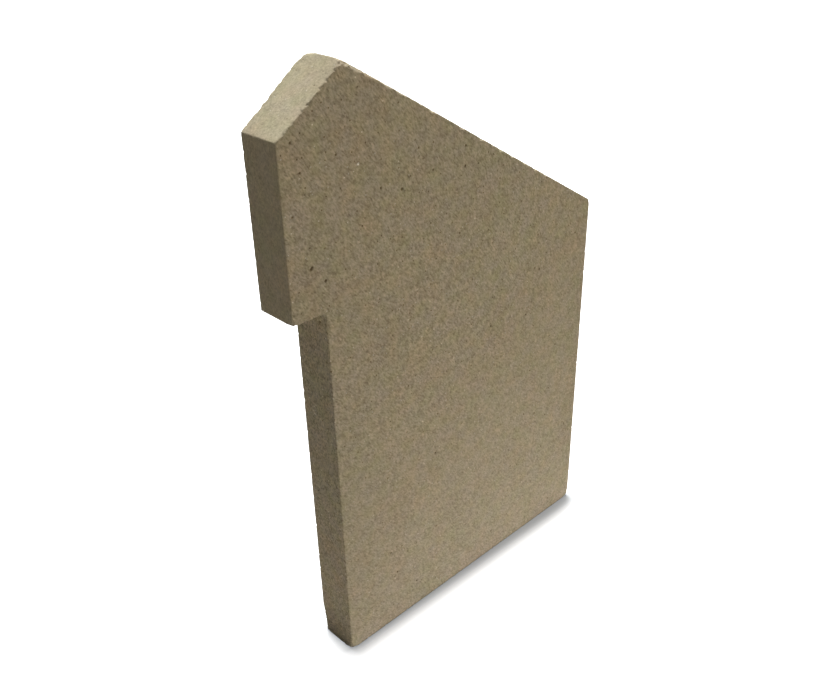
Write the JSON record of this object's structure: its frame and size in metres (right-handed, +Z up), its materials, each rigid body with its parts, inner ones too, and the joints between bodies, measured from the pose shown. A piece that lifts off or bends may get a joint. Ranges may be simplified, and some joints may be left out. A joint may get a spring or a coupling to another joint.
{
  "type": "stove side brick",
  "caption": "Flat fired-clay slab that lines one side of a stove's firebox, with a sloped top that carries the baffle plate, a bevelled front corner and a rebated foot.",
  "frame": {"origin": "the middle of the overall box, on the plane that the foot stands on", "axes": "+X from the stove's front to its rear, +Y through the thickness, towards the wall face, +Z up"},
  "size_m": [0.225, 0.025, 0.3399],
  "materials": {
    "fired_clay": "matte"
  },
  "bodies": {
    "root": {"side_brick": "fired_clay"}
  },
  "joints": []
}
